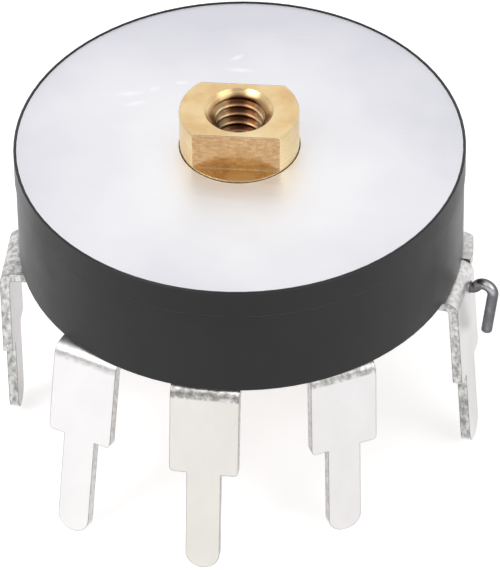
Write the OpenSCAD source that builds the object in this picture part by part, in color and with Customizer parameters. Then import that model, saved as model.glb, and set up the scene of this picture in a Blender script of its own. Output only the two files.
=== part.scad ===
// Switched rotary potentiometer for a thumbwheel: a black two-part case with a metal cover,
// a brass shaft with two flats and a threaded hole, a resistance track on a board, a wiper on
// a rotor, a spring-wire switch worked by the rotor's rim, and five flat terminals.
// The origin is on the shaft's axis, level with the top face of the metal cover. +Z is up.

/* [Case] */
// Outer diameter of the case at its upper part
case_d = 16; // [15.4:0.1:20]
// Height of the case, from its bottom edge to its rim
case_h = 4.63; // [4.45:0.01:6]
// Height of the upper part of the case, from the parting line to the rim
upper_h = 1.15; // [1:0.05:1.3]
// How far the lower part of the case stands in from the upper part
parting_step = 0.04; // [0:0.01:0.1]
// Width of the thin lip round the metal cover
lip_w = 0.08; // [0.06:0.01:0.3]
// Height of the lip above the metal cover
lip_stand = 0.05; // [0.02:0.01:0.15]
// Radius of the case's lower outer edge
edge_r = 0.1; // [0.05:0.05:0.35]
// Thickness of the side wall
wall = 0.86; // [0.7:0.02:0.95]
// Height of the locating ring under the upper part
spigot_h = 0.5; // [0.3:0.1:0.8]
// Thickness of the locating ring
spigot_w = 0.4; // [0.3:0.05:0.5]
// Chamfer of both mouldings along the parting line
seam_edge = 0.04; // [0.02:0.01:0.1]

/* [Cover disc] */
// Thickness of the metal cover
cover_t = 0.4; // [0.3:0.05:0.5]
// Radial gap between the cover and the shaft
cover_gap = 0.03; // [0.02:0.01:0.2]

/* [Shaft] */
// Diameter of the shaft
shaft_d = 4.25; // [4:0.05:4.6]
// Distance across the two flats of the head
flats_w = 2.9; // [2.7:0.05:3.4]
// Height of the flats
flats_h = 1.5; // [0.8:0.1:2]
// Height of the round collar between the cover and the flats
collar_h = 0.05; // [0.05:0.05:0.6]
// Turn of the flats about the axis at the switched-off stop
flats_turn = 3; // [0:1:90]
// Diameter of the threaded hole at the crests of its thread
thread_d = 1.6; // [1.2:0.05:1.7]
// Depth of the threaded hole, from the shaft's top
thread_depth = 4; // [2.5:0.1:4.2]
// Diameter of the countersunk mouth of the hole
mouth_d = 2.45; // [2:0.05:2.5]
// Diameter of the shaft where it drives the rotor
drive_d = 3.4; // [3.2:0.05:3.6]
// Distance across the flats that drive the rotor
drive_flats = 2.6; // [2.4:0.05:2.8]
// Diameter of the shaft's tail in the board
tail_d = 2.7; // [2.2:0.1:3]
// Diameter of the riveted end of the tail
rivet_d = 3; // [2.8:0.1:3.6]

/* [Rotor] */
// Thickness of the cam rim
rotor_t = 0.95; // [0.8:0.05:1]
// Height of the cam rim above the board
rotor_lift = 0.65; // [0.6:0.01:0.7]
// Radial room between the wiper's boss and the collector ring
boss_clear = 0.2; // [0.15:0.01:0.3]
// Diameter of the rotor's hub
hub_d = 6; // [5.4:0.1:6.6]
// Angle that the shaft turns through
travel = 300; // [270:5:310]
// Width of the rotor's stop lug, as an angle
lug_angle = 24; // [12:1:30]
// Thickness of the thrust washer above the hub
washer_t = 0.24; // [0.15:0.01:0.3]
// Thickness of the steel washer under the board
end_washer_t = 0.2; // [0.15:0.01:0.3]
// Diameter of the steel washer under the board
end_washer_d = 4.8; // [4:0.1:5.4]

/* [Board and track] */
// Thickness of the laminate board
board_t = 0.6; // [0.5:0.05:0.7]
// Width of the ledge that the board seats on
ledge_w = 0.3; // [0.2:0.02:0.35]
// Thickness of the printed track, pads and ring
print_t = 0.03; // [0.02:0.01:0.05]
// Inner diameter of the resistance track
track_in_d = 7.6; // [7.4:0.1:8]
// Outer diameter of the resistance track
track_out_d = 10.1; // [9.6:0.1:10.2]
// Inner diameter of the collector ring
ring_in_d = 4.9; // [4.6:0.1:5]
// Outer diameter of the collector ring
ring_out_d = 6.6; // [6.2:0.1:6.8]
// Thickness of the wiper's spring metal
wiper_t = 0.15; // [0.1:0.01:0.2]
// Width of each wiper arm
wiper_w = 0.8; // [0.5:0.1:0.9]

/* [Terminals] */
// Thickness of the terminal metal
term_t = 0.35; // [0.25:0.01:0.4]
// Width of the upper part of a leg
leg_w = 2.45; // [2.2:0.05:2.6]
// Length of the upper part of a track terminal's leg, below the bend
leg_l = 3.1; // [2:0.05:4]
// Length of the upper part of a switch terminal's leg, below the bend
switch_leg_l = 3.4; // [2.5:0.05:4]
// Width of the prong
prong_w = 1.21; // [0.9:0.01:1.4]
// Length of a track terminal's prong
prong_l = 3.95; // [2:0.05:6]
// Length of a switch terminal's prong
switch_prong_l = 3.5; // [2:0.05:5]
// Radius of the leg's shoulders
shoulder_r = 0.18; // [0.05:0.01:0.3]
// Inside radius of the bend between the foot and the leg
bend_r = 0.1; // [0.05:0.05:0.4]
// Room between the eyelets' flanges and the fixed contact, along each foot
eyelet_clear = 0.2; // [0.18:0.01:0.3]
// Diameter of the eyelets
eyelet_d = 1; // [0.8:0.05:1.1]
// Diameter of the eyelets' flanges
flange_d = 1.3; // [1.24:0.02:1.32]
// Wall of the eyelets
eyelet_wall = 0.2; // [0.1:0.01:0.25]
// Height of the eyelets' flanges
flange_h = 0.22; // [0.12:0.01:0.24]
// Margin of foot beyond the eyelet, towards the shaft
foot_margin = 0.65; // [0.4:0.05:0.8]
// Corner radius of a foot's inner end
foot_corner_r = 0.6; // [0.1:0.05:0.8]
// Width of the ear beside the leg on the spring terminal's foot
ear_w = 1.5; // [1:0.1:2.4]
// How far the spring terminal's ear reaches past the case
foot_overhang = 0.32; // [0.1:0.02:0.5]

/* [Terminal places] */
// Direction that the track's start terminal faces
start_dir = -110.5; // [-114:0.5:-107]
// Sideways place of the start terminal
start_side = -1.95; // [-2.1:0.05:-1.8]
// Splay of the start terminal's leg
start_splay = 11; // [0:0.5:15]
// How far the start terminal's leg stands inside the case's outer face
start_inset = 0.02; // [0:0.01:0.2]
// Direction that the middle terminal faces
middle_dir = -91; // [-93:0.5:-88]
// Sideways place of the middle terminal
middle_side = -0.05; // [-0.15:0.05:0.1]
// Splay of the middle terminal's leg
middle_splay = 10.5; // [0:0.5:15]
// How far the middle terminal's leg stands out past the case
middle_reach = 0.05; // [0:0.01:0.2]
// Direction that the track's end terminal faces
end_dir = -61; // [-64:0.5:-58]
// Sideways place of the end terminal
end_side = 0.8; // [0.8:0.05:1]
// Splay of the end terminal's leg
end_splay = 1; // [0:0.5:15]
// How far the end terminal's leg stands inside the case's outer face
end_inset = 0.16; // [0.1:0.01:0.3]
// Direction that the switch's fixed terminal faces
in_dir = -179; // [-180:0.5:-174]
// Sideways place of the fixed terminal's leg
in_side = 1.4; // [1.1:0.02:1.5]
// Sideways place of the fixed terminal's eyelet
in_eyelet_side = 1.4; // [1.3:0.05:1.4]
// How far the fixed terminal's leg stands out past the case
in_reach = 0.38; // [0.1:0.01:0.4]
// Direction that the switch's spring terminal faces
out_dir = -7; // [-9:0.5:-5]
// Sideways place of the spring terminal's leg
out_side = -0.28; // [-0.4:0.02:-0.2]
// Sideways place of the spring terminal's eyelet
out_eyelet_side = -0.68; // [-0.8:0.02:-0.6]
// Splay of the spring terminal's leg
out_splay = 3.5; // [0:0.5:10]
// How far the spring terminal's leg stands out past the case
out_reach = 0.34; // [0.3:0.01:0.5]

/* [Switch] */
// Diameter of the spring wire
wire_d = 0.4; // [0.3:0.02:0.42]
// Clearance between the cam rim and the wire
wire_clear = 0.2; // [0.12:0.01:0.3]
// Clearance between the fixed contact and the side wall
contact_clear = 0.17; // [0.1:0.01:0.25]
// Height of the wire above the board
wire_lift = 1; // [0.9:0.05:1.1]
// Slope of the wire's kink, which dips into the rotor's notch
kink_slope = 40; // [30:1:45]
// Open gap between the wire and the fixed contact
contact_gap = 0.25; // [0.15:0.05:0.3]
// Thickness of the fixed contact's metal
contact_t = 0.18; // [0.12:0.01:0.2]
// Diameter of the silver contact button
button_d = 0.8; // [0.5:0.05:0.9]
// Thickness of the silver contact button
button_t = 0.15; // [0.1:0.01:0.2]
// Radius of the hook at the wire's outer end
hook_r = 0.33; // [0.25:0.01:0.5]
// Length of the straight end of the hook
hook_l = 1.75; // [0.5:0.05:2.5]
// Angle that the hook's end leans in from upright
hook_lean = 7; // [0:1:20]

/* [Fits] */
// Radial gap of a part that turns in another
run_gap = 0.03; // [0.02:0.01:0.06]
// Radial gap of a part that is seated in another
seat_gap = 0.02; // [0.01:0.01:0.04]
// End gap of a part that turns against another
end_gap = 0.02; // [0.01:0.01:0.04]

/* [Hidden] */
$fn = 96;

// Small overlap that joins the solids of one piece and clears the ends of a cut
join = 0.01;
cut = 0.1;

// Levels, from the cover's top face down
rim_z = lip_stand;
seam_z = rim_z - upper_h;
bottom_z = rim_z - case_h;
board_z = bottom_z + board_t;
web_z = seam_z;
hub_top_z = web_z - washer_t - 2 * end_gap;
rotor_z = board_z + rotor_lift;
rotor_top_z = rotor_z + rotor_t;
print_z = board_z + print_t;
wire_z = board_z + wire_lift;
foot_z = bottom_z - term_t;
head_z = collar_h + flats_h;

// Chamfer of the rim's outer edge
rim_edge = 0.04;

// Radii of the case
case_r = case_d / 2;
lower_r = case_r - parting_step;
cavity_r = lower_r - wall;
board_seat_r = cavity_r + ledge_w;
board_r = board_seat_r - seat_gap;

// Switch, from the side wall in: strip and button of the fixed contact, wire, cam rim
strip_out_r = cavity_r - contact_clear;
strip_in_r = strip_out_r - contact_t;
button_face_r = strip_in_r - button_t;
wire_r = button_face_r - contact_gap - wire_d / 2;
rotor_r = wire_r - wire_d / 2 - wire_clear;

// Distance from the shaft's axis to the eyelets, along each foot
eyelet_reach = strip_in_r - eyelet_clear - flange_d / 2;

// Radii of the shaft and its journals
shaft_r = shaft_d / 2;
tail_r = tail_d / 2;
neck_r = tail_r - 0.25;
rivet_h = 0.3;
rivet_taper = 0.4;
head_edge = 0.05;
boss_r = ring_in_d / 2 - boss_clear;

// Angles, seen from above, counted from the +X axis towards +Y
middle_angle = -90;
stop_play = 1;
post_half = (360 - travel) / 2 - lug_angle / 2 - stop_play;
wiper_angle = middle_angle - (360 - travel) / 2;
kink_angle = -110;
kink_half = 9;

// Round notch in the cam rim: place of its centre, and its room round the kink
notch_centre_r = rotor_r + 0.35;
notch_clear = 0.12;

// Stop lug and stop post share one ring of space over the cam rim
stop_out_r = rotor_r - 0.15;
stop_in_r = stop_out_r - 1.7;
stop_gap = 0.2;

// Pegs that hold the board: radius, size and places
peg_r = 0.4;
peg_head_r = 0.62;
peg_head_h = 0.25;
peg_head_taper = 0.12;
peg_boss_r = 0.75;
peg_boss_h = 0.5;
peg_inset = 0.1;
peg_place_r = board_seat_r - peg_boss_r - peg_inset;
peg_angles = [40, 140, -31.5, -147];

// Resistance track: angles of its two ends and of its end pads
pad_start = -113;
pad_end = -67;
track_start = -131;
track_end = -49;

// Each terminal: direction that it faces, sideways place of its leg, reach of the leg's outer
// face from the axis, outward splay of the leg, sideways place of its eyelet, and lengths of the
// leg's upper part and of its prong
START_TERM = [
  start_dir, start_side, case_r - start_inset, start_splay, start_side, leg_l, prong_l
];
WIPER_TERM = [
  middle_dir, middle_side, case_r + middle_reach, middle_splay, middle_side, leg_l, prong_l
];
END_TERM = [end_dir, end_side, case_r - end_inset, end_splay, end_side, leg_l, prong_l];
SWITCH_IN_TERM = [
  in_dir, in_side, case_r + in_reach, 0, in_eyelet_side, switch_leg_l, switch_prong_l
];
SWITCH_OUT_TERM = [
  out_dir, out_side, case_r + out_reach, out_splay, out_eyelet_side, switch_leg_l,
  switch_prong_l
];

// Places of the eyelets on the board, as angle and radius
function eyelet_angle(term) = term[0] + atan2(term[4], eyelet_reach);
function eyelet_place(term) =
  [for (side = [0, 1]) side == 0
    ? eyelet_reach * cos(term[0]) - term[4] * sin(term[0])
    : eyelet_reach * sin(term[0]) + term[4] * cos(term[0])];
function eyelet_radius(term) = norm(eyelet_place(term));

// Taper of an eyelet's flange, across its diameter
flange_taper = 0.15;

// Where a terminal's foot ends and its bend starts
function bend_start(term) = term[2] - bend_r - term_t;
foot_end_x = eyelet_reach - eyelet_d / 2 - foot_margin;

// Slit between the spring terminal's ear and its bend: width, and length beyond the bend's start
slit_w = 0.06;
slit_l = 0.4;

// How far the ear's straight end stands inside the circle that trims it
ear_trim = 0.12;

// Spring wire: angle of its riser through the board and of its free end, and level of its tail
riser_angle = -3.5;
wire_end_angle = -150;
tail_drop = 0.15;
tail_z = foot_z - wire_d / 2 - tail_drop;
tail_bend_r = 0.35;
riser_bend_r = 0.3;
riser_lead = 0.15;
riser_side = riser_lead + riser_bend_r;
hook_rise = 60;
riser_place = [
  wire_r * cos(riser_angle) - riser_side * sin(riser_angle),
  wire_r * sin(riser_angle) + riser_side * cos(riser_angle)
];

// The wire's tail leaves the leg of its terminal at a set distance from the leg's edge
tail_margin = 0.58;
tail_side = out_side + leg_w / 2 - tail_margin;
tail_exit = [
  SWITCH_OUT_TERM[2] * cos(out_dir) - tail_side * sin(out_dir),
  SWITCH_OUT_TERM[2] * sin(out_dir) + tail_side * cos(out_dir)
];
tail_turn = atan2(tail_exit[1] - riser_place[1], tail_exit[0] - riser_place[0]);
tail_l = norm([tail_exit[0] - riser_place[0], tail_exit[1] - riser_place[1]]) - tail_bend_r;

// Kink: its two bend radii, and the straight runs that close it on the wire's circle
kink_in_r = 0.25;
kink_tip_r = 0.3;
kink_run = (wire_r * sin(kink_half) - kink_in_r * (sin(kink_half) + sin(kink_slope))
  - kink_tip_r * sin(kink_slope)) / cos(kink_slope);
kink_r = wire_r * cos(kink_half) + kink_in_r * (cos(kink_slope) - cos(kink_half))
  - kink_run * sin(kink_slope) - kink_tip_r * (1 - cos(kink_slope));

// Fixed contact: angles of its foot, arm and button, and height of its arm
foot_start = eyelet_angle(SWITCH_IN_TERM) - 13;
foot_end = eyelet_angle(SWITCH_IN_TERM) + 8;
arm_start = -154;
arm_end = -144;
arm_h = 0.7;
button_angle = -147.5;

// Pads: land round the eyelet, half angle of the neck that joins it, and gap to the track
land_w = 0.15;
neck_half = 3;
pad_gap = 0.2;

// Wiper arms: flat root, turned-up tip, place of the root, and angles where the plate ends
arm_root_l = 0.5;
arm_tip_l = 0.35;
arm_tip_h = 0.15;
arm_root_y = 1.53;
track_root = 15;
track_root_w = 20;
ring_root = 204;
ring_root_w = 330;

// A sector of a ring, from one angle to another, counted the same way as the angles above
module sector(in_r, out_r, from_angle, to_angle, low_z, high_z) {
  translate([0, 0, low_z])
    rotate([0, 0, from_angle])
      rotate_extrude(angle = to_angle - from_angle)
        translate([in_r, 0])
          square([out_r - in_r, high_z - low_z]);
}

// A plain ring or disc between two levels
module ring(in_r, out_r, low_z, high_z) {
  translate([0, 0, low_z])
    difference() {
      cylinder(r = out_r, h = high_z - low_z);
      translate([0, 0, -cut])
        cylinder(r = in_r, h = high_z - low_z + 2 * cut);
    }
}

// A round bar with two flats that face +-Y before it is turned
module flatted_bar(diameter, across, low_z, high_z) {
  translate([0, 0, low_z])
    linear_extrude(height = high_z - low_z)
      intersection() {
        circle(d = diameter);
        square([diameter + 1, across], center = true);
      }
}

// Places its children at a terminal's eyelet
module at_eyelet(term) {
  translate([eyelet_place(term)[0], eyelet_place(term)[1], 0])
    children();
}

// Places its children at each peg
module at_pegs() {
  for (angle = peg_angles)
    rotate([0, 0, angle])
      translate([peg_place_r, 0, 0])
        children();
}

// Upper moulding: thin lip, floor under the cover, bearing bore, locating ring and stop post
module upper_case() {
  color([0.13, 0.13, 0.14]) {
    rotate_extrude()
      polygon([
        [shaft_r + run_gap, web_z], [case_r - seam_edge, web_z], [case_r, web_z + seam_edge],
        [case_r, rim_z - rim_edge], [case_r - rim_edge, rim_z], [case_r - lip_w, rim_z],
        [case_r - lip_w, -cover_t], [shaft_r + run_gap, -cover_t]
      ]);
    ring(cavity_r - seat_gap - spigot_w, cavity_r - seat_gap, web_z - spigot_h, web_z + join);
    sector(stop_in_r, stop_out_r, middle_angle - post_half, middle_angle + post_half,
      rotor_top_z + stop_gap, web_z + join);
  }
}

// Lower moulding: side wall, ledge for the board, and pegs that are flattened under the board
module lower_case() {
  color([0.13, 0.13, 0.14]) {
    rotate_extrude()
      difference() {
        union() {
          translate([cavity_r, bottom_z + edge_r])
            square([wall, seam_z - bottom_z - edge_r]);
          translate([cavity_r, bottom_z])
            square([wall - edge_r, case_h]);
          translate([lower_r - edge_r, bottom_z + edge_r])
            circle(r = edge_r);
        }
        translate([cavity_r - cut, bottom_z - cut])
          square([ledge_w + cut, board_t + cut]);
        translate([cavity_r - cut, seam_z])
          square([wall + 2 * cut, case_h]);
        translate([lower_r - seam_edge, seam_z])
          polygon([
            [-cut, cut], [seam_edge + cut, -seam_edge - cut], [seam_edge + cut, cut]
          ]);
      }
    at_pegs() {
      intersection() {
        translate([0, 0, board_z])
          cylinder(r = peg_boss_r, h = peg_boss_h);
        translate([-peg_place_r, 0, board_z - cut])
          cylinder(r = cavity_r + join, h = peg_boss_h + 2 * cut);
      }
      translate([0, 0, bottom_z - join])
        cylinder(r = peg_r, h = board_t + 2 * join);
      translate([0, 0, bottom_z - peg_head_h])
        cylinder(r1 = peg_head_r - peg_head_taper, r2 = peg_head_r, h = peg_head_h);
    }
  }
}

// Smooth metal cover
module cover_disc() {
  color([0.88, 0.88, 0.91])
    rotate_extrude()
      translate([shaft_r + cover_gap, -cover_t])
        square([case_r - lip_w - seat_gap - shaft_r - cover_gap, cover_t]);
}

// Turned outline of the shaft, from its riveted end up to its head
module shaft_outline() {
  rivet_z = bottom_z - end_gap - end_washer_t;
  polygon([
    [0, rivet_z - rivet_h], [rivet_d / 2 - rivet_taper, rivet_z - rivet_h], [rivet_d / 2, rivet_z],
    [neck_r, rivet_z], [neck_r, bottom_z - end_gap], [tail_r, bottom_z - end_gap],
    [tail_r, board_z + end_gap], [drive_d / 2, board_z + end_gap], [drive_d / 2, hub_top_z],
    [shaft_r, hub_top_z], [shaft_r, head_z - head_edge], [shaft_r - head_edge, head_z],
    [0, head_z]
  ]);
}

// Outline of the threaded hole: drill point, wall and countersunk mouth
module thread_outline() {
  thread_r = thread_d / 2;
  floor_z = head_z - thread_depth;
  sink = mouth_d / 2 - thread_r;
  polygon([
    [0, floor_z - thread_r / 2], [thread_r, floor_z], [thread_r, head_z - sink],
    [mouth_d / 2, head_z], [mouth_d / 2, head_z + cut], [0, head_z + cut]
  ]);
}

// Cuts two flats that face +-Y on a round bar between two levels
module flats_cut(across, low_z, high_z) {
  for (side = [0, 180])
    rotate([0, 0, side])
      translate([-shaft_d, across / 2, low_z])
        cube([2 * shaft_d, shaft_d, high_z - low_z]);
}

// Turned brass shaft: head with two flats, collar, journal, drive flats, tail and riveted end
module shaft() {
  color([0.83, 0.66, 0.36])
    difference() {
      rotate_extrude()
        shaft_outline();
      rotate([0, 0, flats_turn])
        flats_cut(flats_w, collar_h, head_z + cut);
      flats_cut(drive_flats, board_z + end_gap, hub_top_z);
      rotate_extrude()
        thread_outline();
    }
}

// Washer between the hub and the upper moulding
module thrust_washer() {
  color([0.86, 0.84, 0.78])
    ring(shaft_r + run_gap, hub_d / 2, hub_top_z + end_gap, web_z - end_gap);
}

// Moulded rotor: hub, cam rim with its notch, stop lug, and boss that carries the wiper
module rotor() {
  color([0.78, 0.76, 0.70])
    difference() {
      union() {
        translate([0, 0, rotor_z])
          cylinder(r = rotor_r, h = rotor_t);
        translate([0, 0, rotor_z])
          cylinder(d = hub_d, h = hub_top_z - rotor_z);
        translate([0, 0, board_z + end_gap])
          cylinder(r = boss_r, h = rotor_z - board_z);
        sector(stop_in_r, stop_out_r, wiper_angle - lug_angle / 2, wiper_angle + lug_angle / 2,
          rotor_top_z - join, hub_top_z);
      }
      flatted_bar(drive_d + 2 * seat_gap, drive_flats + 2 * seat_gap, board_z - cut,
        hub_top_z + cut);
      rotate([0, 0, kink_angle])
        translate([notch_centre_r, 0, rotor_z - cut])
          cylinder(r = notch_centre_r - kink_r + wire_d / 2 + notch_clear, h = rotor_t + 2 * cut);
    }
}

// One wiper arm: a bent strip that slopes down to a rounded contact and turns up at its tip
module wiper_arm(slope_l) {
  low_z = print_z + end_gap;
  slope_end = arm_root_l + slope_l;
  tip_end = slope_end + arm_tip_l;
  rotate([90, 0, 0])
    linear_extrude(height = wiper_w, center = true)
      polygon([
        [0, rotor_z], [arm_root_l, rotor_z], [slope_end, low_z + wiper_t],
        [tip_end, low_z + wiper_t + arm_tip_h], [tip_end, low_z + arm_tip_h],
        [slope_end, low_z], [arm_root_l, rotor_z - wiper_t], [0, rotor_z - wiper_t]
      ]);
}

// Spring-metal wiper: an open ring held on the rotor's boss, with an arm on the resistance
// track and an arm on the collector ring
module wiper() {
  track_mid_r = (track_in_d + track_out_d) / 4;
  ring_mid_r = (ring_in_d + ring_out_d) / 4;
  track_arm_l = 1;
  ring_arm_l = 0.5;
  color([0.80, 0.60, 0.38]) {
    sector(boss_r + seat_gap, ring_out_d / 2, wiper_angle + ring_root,
      wiper_angle + ring_root + ring_root_w, rotor_z - wiper_t, rotor_z);
    sector(ring_in_d / 2, track_mid_r + wiper_w / 2, wiper_angle + track_root,
      wiper_angle + track_root + track_root_w, rotor_z - wiper_t, rotor_z);
    rotate([0, 0, wiper_angle])
      translate([track_mid_r, arm_root_y, 0])
        rotate([0, 0, -90])
          wiper_arm(track_arm_l);
    rotate([0, 0, wiper_angle + 180])
      translate([ring_mid_r, arm_root_y, 0])
        rotate([0, 0, -90])
          wiper_arm(ring_arm_l);
  }
}

// Laminate board with holes for the shaft's tail, the eyelets, the wire and the pegs
module base_board() {
  color([0.50, 0.30, 0.16])
    difference() {
      ring(tail_r + run_gap, board_r, bottom_z, board_z);
      for (term = [START_TERM, WIPER_TERM, END_TERM, SWITCH_IN_TERM, SWITCH_OUT_TERM])
        at_eyelet(term)
          translate([0, 0, bottom_z - cut])
            cylinder(d = eyelet_d + 2 * seat_gap, h = board_t + 2 * cut);
      translate([riser_place[0], riser_place[1], bottom_z - cut])
        cylinder(d = wire_d + 2 * seat_gap, h = board_t + 2 * cut);
      at_pegs()
        translate([0, 0, bottom_z - cut])
          cylinder(r = peg_r + seat_gap, h = board_t + 2 * cut);
    }
}

// Printed resistance track
module carbon_track() {
  color([0.10, 0.10, 0.10])
    sector(track_in_d / 2, track_out_d / 2, track_end, track_start + 360, board_z, print_z);
}

// Printed silver pads at the two ends of the track
module end_pads() {
  color([0.75, 0.75, 0.74]) {
    end_pad(START_TERM, track_start, pad_start);
    end_pad(END_TERM, pad_end, track_end);
  }
}

// One pad: a stretch of the track's ring and a round land under the eyelet's flange
module end_pad(term, from_angle, to_angle) {
  difference() {
    union() {
      sector(track_in_d / 2, track_out_d / 2 - seat_gap, from_angle + pad_gap,
        to_angle - pad_gap, board_z, print_z);
      difference() {
        at_eyelet(term)
          translate([0, 0, board_z])
            cylinder(d = flange_d + 2 * land_w, h = print_t);
        translate([0, 0, board_z - cut])
          cylinder(d = track_out_d, h = print_t + 2 * cut);
      }
      sector(track_out_d / 2 - seat_gap - join, eyelet_radius(term),
        eyelet_angle(term) - neck_half, eyelet_angle(term) + neck_half, board_z, print_z);
    }
    at_eyelet(term)
      translate([0, 0, board_z - cut])
        cylinder(d = eyelet_d + 2 * seat_gap, h = print_t + 2 * cut);
  }
}

// Printed collector ring with its lead to the middle terminal
module collector_ring() {
  lead_half = 6;
  color([0.75, 0.75, 0.74])
    difference() {
      union() {
        ring(ring_in_d / 2, ring_out_d / 2, board_z, print_z);
        sector(ring_out_d / 2 - join, eyelet_radius(WIPER_TERM),
          eyelet_angle(WIPER_TERM) - lead_half, eyelet_angle(WIPER_TERM) + lead_half,
          board_z, print_z);
        at_eyelet(WIPER_TERM)
          translate([0, 0, board_z])
            cylinder(d = flange_d + 2 * land_w, h = print_t);
      }
      at_eyelet(WIPER_TERM)
        translate([0, 0, board_z - cut])
          cylinder(d = eyelet_d + 2 * seat_gap, h = print_t + 2 * cut);
    }
}

// Flat outline of a leg below its bend: wide part with rounded shoulders, prong, round end
module leg_outline(wide_l, narrow_l) {
  translate([0, -leg_w / 2])
    square([wide_l - shoulder_r, leg_w]);
  translate([0, shoulder_r - leg_w / 2])
    square([wide_l, leg_w - 2 * shoulder_r]);
  for (side = [-1, 1])
    translate([wide_l - shoulder_r, side * (leg_w / 2 - shoulder_r)])
      circle(r = shoulder_r);
  translate([wide_l - join, -prong_w / 2])
    square([narrow_l - prong_w / 2 + join, prong_w]);
  translate([wide_l + narrow_l - prong_w / 2, 0])
    circle(d = prong_w);
}

// Plate outline between two X and two Y places, with its corners rounded on the low X side
module rounded_plate(low_x, high_x, low_y, high_y) {
  translate([low_x + foot_corner_r, low_y])
    square([high_x - low_x - foot_corner_r, high_y - low_y]);
  translate([low_x, low_y + foot_corner_r])
    square([high_x - low_x, high_y - low_y - 2 * foot_corner_r]);
  for (corner_y = [low_y + foot_corner_r, high_y - foot_corner_r])
    translate([low_x + foot_corner_r, corner_y])
      circle(r = foot_corner_r);
}

// Bend and leg of one terminal, which faces +X before it is turned
module bend_and_leg(term) {
  bend_angle = 90 - term[3];
  translate([bend_start(term), term[1], foot_z - bend_r]) {
    rotate([90, 0, 0])
      rotate([0, 0, 90 - bend_angle])
        rotate_extrude(angle = bend_angle)
          translate([bend_r, -leg_w / 2])
            square([term_t, leg_w]);
    rotate([0, bend_angle, 0])
      translate([-join, 0, bend_r])
        linear_extrude(height = term_t)
          leg_outline(term[5], term[6]);
  }
}

// Outline of a terminal's foot, up to its bend
module foot_outline(term) {
  rounded_plate(foot_end_x, bend_start(term), term[1] - leg_w / 2, term[1] + leg_w / 2);
}

// Outline of the ear of the spring terminal's foot: it follows the case's edge beside the leg,
// its outer corner is round, and a slit keeps it clear of the bend
module ear_outline(term) {
  inner_y = term[1] + leg_w / 2 - 2 * foot_corner_r;
  outer_y = term[1] + leg_w / 2 + ear_w;
  difference() {
    intersection() {
      rounded_plate(foot_end_x, 2 * case_r, inner_y, outer_y);
      rotate([0, 0, 180])
        rounded_plate(ear_trim - case_r - foot_overhang, 0, -outer_y, -inner_y);
      circle(r = case_r + foot_overhang);
    }
    translate([bend_start(term) - slit_l, term[1] - leg_w / 2 - slit_w])
      square([case_r, leg_w + 2 * slit_w]);
  }
}

// Hole for an eyelet in a terminal's foot, before the terminal is turned
module eyelet_hole(term) {
  translate([eyelet_reach, term[4]])
    circle(d = eyelet_d + 2 * seat_gap);
}

// One terminal, turned to its place
module terminal(term) {
  color([0.86, 0.86, 0.84])
    rotate([0, 0, term[0]]) {
      translate([0, 0, foot_z])
        linear_extrude(height = term_t)
          difference() {
            foot_outline(term);
            eyelet_hole(term);
          }
      bend_and_leg(term);
    }
}

// A terminal with an ear on one side of its foot
module eared_terminal(term) {
  color([0.86, 0.86, 0.84])
    rotate([0, 0, term[0]]) {
      translate([0, 0, foot_z])
        linear_extrude(height = term_t)
          difference() {
            union() {
              foot_outline(term);
              ear_outline(term);
            }
            eyelet_hole(term);
          }
      bend_and_leg(term);
    }
}

// Room for the spring wire's riser and tail: through the foot, and out through the leg
module wire_cut() {
  translate([riser_place[0], riser_place[1], 0]) {
    translate([0, 0, foot_z - cut])
      cylinder(d = wire_d + 2 * seat_gap, h = term_t + 2 * cut);
    rotate([0, 0, tail_turn])
      translate([0, 0, tail_z])
        rotate([0, 90, 0])
          cylinder(d = wire_d + 2 * seat_gap, h = case_r);
  }
}

module track_start_terminal() {
  terminal(START_TERM);
}

module wiper_terminal() {
  terminal(WIPER_TERM);
}

module track_end_terminal() {
  terminal(END_TERM);
}

module switch_in_terminal() {
  terminal(SWITCH_IN_TERM);
}

module switch_out_terminal() {
  difference() {
    eared_terminal(SWITCH_OUT_TERM);
    wire_cut();
  }
}

// One eyelet: a tube with a flange at each end, which grips from one level to another
module eyelet(term, high_z) {
  at_eyelet(term)
    difference() {
      union() {
        translate([0, 0, foot_z - join])
          cylinder(d = eyelet_d, h = high_z - foot_z + 2 * join);
        translate([0, 0, foot_z - flange_h])
          cylinder(d1 = flange_d - flange_taper, d2 = flange_d, h = flange_h);
        translate([0, 0, high_z])
          cylinder(d1 = flange_d, d2 = flange_d - flange_taper, h = flange_h);
      }
      translate([0, 0, foot_z - flange_h - cut])
        cylinder(d = eyelet_d - 2 * eyelet_wall, h = high_z - foot_z + 2 * flange_h + 2 * cut);
    }
}

module terminal_eyelets() {
  color([0.78, 0.78, 0.76]) {
    for (term = [START_TERM, WIPER_TERM, END_TERM])
      eyelet(term, print_z);
    eyelet(SWITCH_IN_TERM, board_z + contact_t);
    eyelet(SWITCH_OUT_TERM, board_z);
  }
}

// Fixed contact of the switch: foot under the eyelet, upright strip, and arm with the button
module fixed_contact() {
  foot_in_r = eyelet_radius(SWITCH_IN_TERM) - flange_d / 2;
  foot_top_z = board_z + contact_t;
  top_z = wire_z + arm_h / 2;
  color([0.80, 0.60, 0.38])
    difference() {
      union() {
        sector(foot_in_r, strip_in_r + contact_t / 2, foot_start, foot_end, board_z, foot_top_z);
        sector(strip_in_r, strip_out_r, foot_start - 1, arm_end, board_z, top_z);
      }
      sector(strip_in_r - cut, strip_out_r + cut, arm_start, arm_end + 1, board_z - cut,
        top_z - arm_h);
      at_eyelet(SWITCH_IN_TERM)
        translate([0, 0, board_z - cut])
          cylinder(d = eyelet_d + 2 * seat_gap, h = contact_t + 2 * cut);
    }
}

// Silver button on the fixed contact's arm, shaped to the arm's curve
module contact_button() {
  color([0.90, 0.90, 0.88])
    intersection() {
      rotate([0, 0, button_angle])
        translate([0, 0, wire_z])
          rotate([0, 90, 0])
            cylinder(d = button_d, h = case_r);
      ring(button_face_r, strip_in_r, wire_z - button_d, wire_z + button_d);
    }
}

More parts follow.
